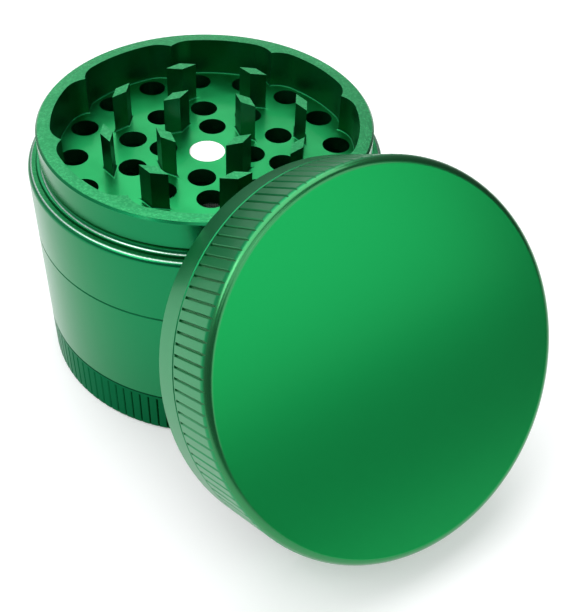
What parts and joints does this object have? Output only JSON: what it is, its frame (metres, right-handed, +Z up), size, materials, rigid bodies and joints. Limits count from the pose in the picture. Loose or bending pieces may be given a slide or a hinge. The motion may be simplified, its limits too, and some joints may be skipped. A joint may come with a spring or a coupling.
{
  "type": "herb grinder",
  "caption": "Round green anodised aluminium herb grinder with a toothed chamber, a sieve section and a catcher; its knurled lid is off and leans against the collar",
  "frame": {"origin": "middle of the catcher's underside, on the axis of the screwed stack", "axes": "+Z up along the axis of the stack; -Y towards the viewer of the picture; the lid leans at -Y, a little to +X"},
  "size_m": [0.0875, 0.0999, 0.0617],
  "materials": {
    "green_anodised": "turned and anodised, satin",
    "steel_mesh": "fine woven wire",
    "steel_sheet": "folded sheet",
    "nickel_plate": "bright plating",
    "white_polymer": "smooth"
  },
  "bodies": {
    "chamber": {"grinding_chamber": "green_anodised"},
    "chamber_magnet": {"chamber_magnet": "nickel_plate"},
    "sieve": {"sieve_chamber": "green_anodised", "screen_mesh": "steel_mesh", "screen_bezel": "steel_sheet"},
    "clamp_ring": {"screen_clamp_ring": "green_anodised"},
    "base": {"base_catcher": "green_anodised"},
    "glide_ring": {"lid_glide_ring": "white_polymer"},
    "lid": {"lid_cap": "green_anodised", "lid_magnet": "nickel_plate"}
  },
  "joints": [
    {"name": "sieve_turn", "type": "hinge", "parent": "chamber", "child": "chamber_magnet", "pos_m": [0, 0, 0.0403], "axis": [0, 0, -1], "range_deg": [0, 360]},
    {"name": "sieve_drop", "type": "slide", "parent": "chamber_magnet", "child": "sieve", "axis": [0, 0, -1], "range_m": [0, 0.0015]},
    {"name": "base_turn", "type": "hinge", "parent": "sieve", "child": "clamp_ring", "pos_m": [0, 0, 0.0119], "axis": [0, 0, -1], "range_deg": [0, 360]},
    {"name": "base_drop", "type": "slide", "parent": "clamp_ring", "child": "base", "axis": [0, 0, -1], "range_m": [0, 0.0015]},
    {"name": "lid_lift", "type": "slide", "parent": "chamber", "child": "glide_ring", "axis": [0.4058, -0.7431, 0.5321], "range_m": [0, 0.05]},
    {"name": "lid_turn", "type": "hinge", "parent": "glide_ring", "child": "lid", "pos_m": [0.02094, -0.03561, 0.02677], "axis": [0.4058, -0.7431, 0.5321], "continuous": true}
  ],
  "couplings": [
    {"joint": "sieve_drop", "follows": "sieve_turn", "m_per_rad": 0.00023873},
    {"joint": "base_drop", "follows": "base_turn", "m_per_rad": 0.00023873}
  ]
}
